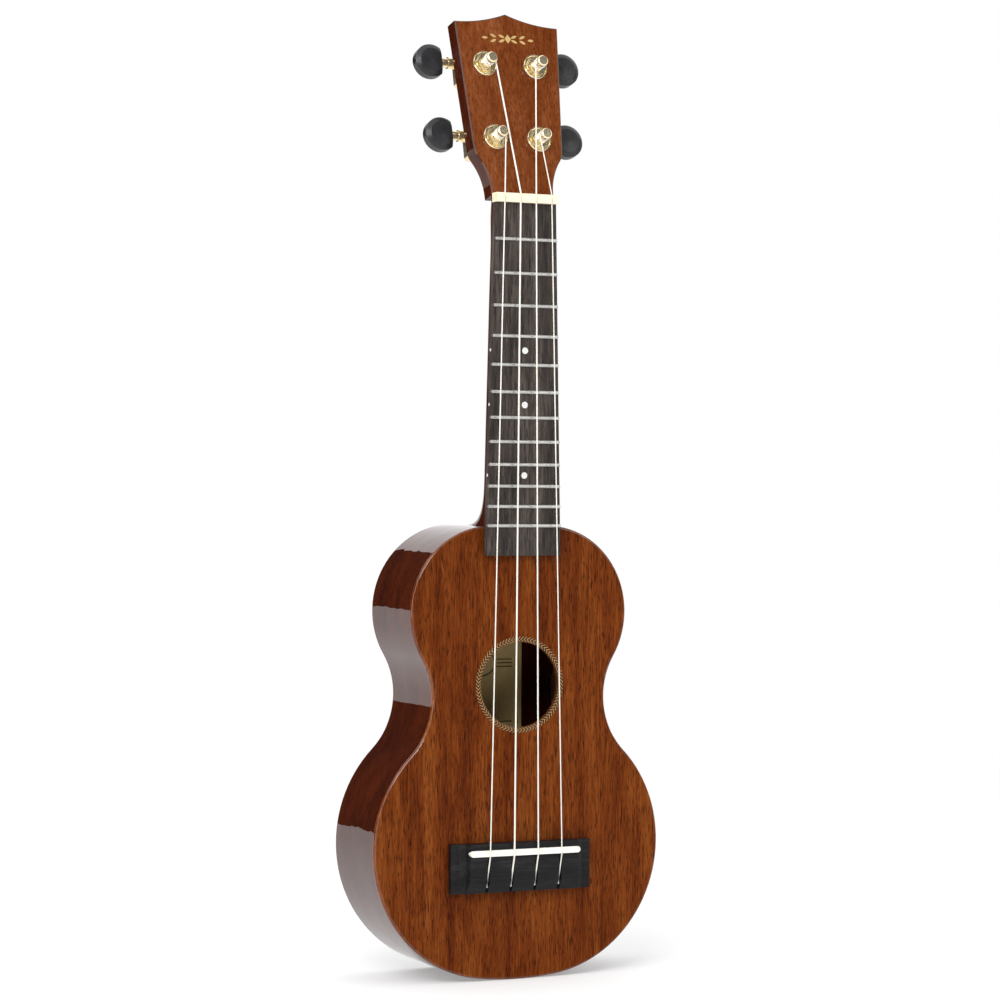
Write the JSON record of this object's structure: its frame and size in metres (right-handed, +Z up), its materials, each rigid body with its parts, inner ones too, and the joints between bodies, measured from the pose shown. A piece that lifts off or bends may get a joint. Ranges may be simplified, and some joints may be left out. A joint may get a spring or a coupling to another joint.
{
  "type": "soprano ukulele",
  "caption": "Four-string soprano ukulele with a hollow figure-eight wooden body, round soundhole, fretted neck and geared tuning machines whose buttons turn the string posts.",
  "frame": {"origin": "middle of the bounding box's underside, on the surface that the tail stands on", "axes": "+Z up the neck, +X to the right of someone facing the soundboard, front facing -Y"},
  "size_m": [0.168, 0.0654, 0.5208],
  "materials": {
    "mahogany_top": "satin gloss lacquer, fine vertical grain",
    "mahogany_dark": "high gloss lacquer",
    "inner_wood": "bare wood",
    "rosewood": "open-pored, satin",
    "bridge_black": "stained black, satin",
    "bone_cream": "polished cream",
    "nylon_white": "translucent white nylon",
    "rosette_inlay": "braided marquetry under lacquer",
    "paper_label": "matt paper",
    "gold_plate": "polished gold plate",
    "steel_fret": "polished nickel silver",
    "button_black": "satin black",
    "pearl_dot": "pearl",
    "gear_brass": "machined"
  },
  "bodies": {
    "instrument": {"back": "mahogany_dark", "back_brace_lower": "inner_wood", "back_brace_upper": "inner_wood", "bridge": "bridge_black", "bridge_plate": "inner_wood", "bushings": "gold_plate", "face_washers": "gold_plate", "fingerboard": "rosewood", "frets": "steel_fret", "housing_low_left": "gold_plate", "housing_low_right": "gold_plate", "housing_top_left": "gold_plate", "housing_top_right": "gold_plate", "label": "paper_label", "lining_back": "inner_wood", "lining_top": "inner_wood", "mounting_screws": "gold_plate", "neck": "mahogany_dark", "neck_block": "inner_wood", "nut": "bone_cream", "position_dots": "pearl_dot", "rosette": "rosette_inlay", "saddle": "bone_cream", "side_left": "mahogany_dark", "side_right": "mahogany_dark", "soundboard": "mahogany_top", "string_a": "nylon_white", "string_c": "nylon_white", "string_e": "nylon_white", "string_g": "nylon_white", "tail_block": "inner_wood", "top_brace_lower": "inner_wood", "top_brace_upper": "inner_wood", "tuner_covers": "gold_plate"},
    "key_low_left": {"worm_shaft_low_left": "gold_plate", "button_low_left": "button_black", "button_screw_low_left": "button_black"},
    "post_low_left": {"post_low_left": "gold_plate", "gear_low_left": "gear_brass", "winding_low_left": "nylon_white"},
    "key_top_left": {"worm_shaft_top_left": "gold_plate", "button_top_left": "button_black", "button_screw_top_left": "button_black"},
    "post_top_left": {"post_top_left": "gold_plate", "gear_top_left": "gear_brass", "winding_top_left": "nylon_white"},
    "key_top_right": {"worm_shaft_top_right": "gold_plate", "button_top_right": "button_black", "button_screw_top_right": "button_black"},
    "post_top_right": {"post_top_right": "gold_plate", "gear_top_right": "gear_brass", "winding_top_right": "nylon_white"},
    "key_low_right": {"worm_shaft_low_right": "gold_plate", "button_low_right": "button_black", "button_screw_low_right": "button_black"},
    "post_low_right": {"post_low_right": "gold_plate", "gear_low_right": "gear_brass", "winding_low_right": "nylon_white"}
  },
  "joints": [
    {"name": "key_turn_low_left", "type": "hinge", "parent": "instrument", "child": "key_low_left", "pos_m": [-0.0129, 0.00296, 0.45339], "axis": [1, 0, 0], "continuous": true},
    {"name": "post_turn_low_left", "type": "hinge", "parent": "instrument", "child": "post_low_left", "pos_m": [-0.0129, -0.01488, 0.45192], "axis": [0, -0.9724, 0.2334], "continuous": true},
    {"name": "key_turn_top_left", "type": "hinge", "parent": "instrument", "child": "key_top_left", "pos_m": [-0.015, 0.01267, 0.49385], "axis": [1, 0, 0], "continuous": true},
    {"name": "post_turn_top_left", "type": "hinge", "parent": "instrument", "child": "post_top_left", "pos_m": [-0.015, -0.00517, 0.49237], "axis": [0, -0.9724, 0.2334], "continuous": true},
    {"name": "key_turn_top_right", "type": "hinge", "parent": "instrument", "child": "key_top_right", "pos_m": [0.015, 0.01267, 0.49385], "axis": [1, 0, 0], "continuous": true},
    {"name": "post_turn_top_right", "type": "hinge", "parent": "instrument", "child": "post_top_right", "pos_m": [0.015, -0.00517, 0.49237], "axis": [0, -0.9724, 0.2334], "continuous": true},
    {"name": "key_turn_low_right", "type": "hinge", "parent": "instrument", "child": "key_low_right", "pos_m": [0.0129, 0.00296, 0.45339], "axis": [1, 0, 0], "continuous": true},
    {"name": "post_turn_low_right", "type": "hinge", "parent": "instrument", "child": "post_low_right", "pos_m": [0.0129, -0.01488, 0.45192], "axis": [0, -0.9724, 0.2334], "continuous": true}
  ],
  "couplings": [
    {"joint": "post_turn_low_left", "follows": "key_turn_low_left", "ratio": -0.071429},
    {"joint": "post_turn_top_left", "follows": "key_turn_top_left", "ratio": -0.071429},
    {"joint": "post_turn_top_right", "follows": "key_turn_top_right", "ratio": 0.071429},
    {"joint": "post_turn_low_right", "follows": "key_turn_low_right", "ratio": 0.071429}
  ]
}
